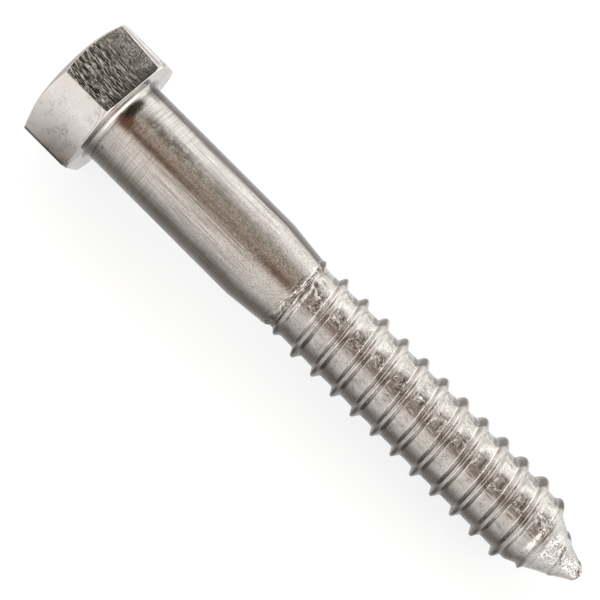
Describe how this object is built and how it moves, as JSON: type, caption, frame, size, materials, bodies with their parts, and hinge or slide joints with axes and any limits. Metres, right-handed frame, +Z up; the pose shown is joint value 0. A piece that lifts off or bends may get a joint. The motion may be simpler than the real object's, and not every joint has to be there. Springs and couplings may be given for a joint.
{
  "type": "hex head lag bolt",
  "caption": "Hex head lag bolt with a plain shank, a tapered neck, a coarse right-hand wood thread and a blunt gimlet point, lying on a flat of its head.",
  "frame": {"origin": "on the surface that the bolt lies on, under the middle of its overall length and width", "axes": "+Z up; +X along the lying bolt towards its point, which dips 2.39 degrees below +X; +Z is the normal of the upper wrench flat, tilted by the same angle"},
  "size_m": [0.1438, 0.0328, 0.0289],
  "materials": {
    "stainless_steel": "satin, turned head and shank, rolled thread, coarse grinding marks on a wrench flat"
  },
  "bodies": {
    "root": {"lag_bolt": "stainless_steel"}
  },
  "joints": []
}
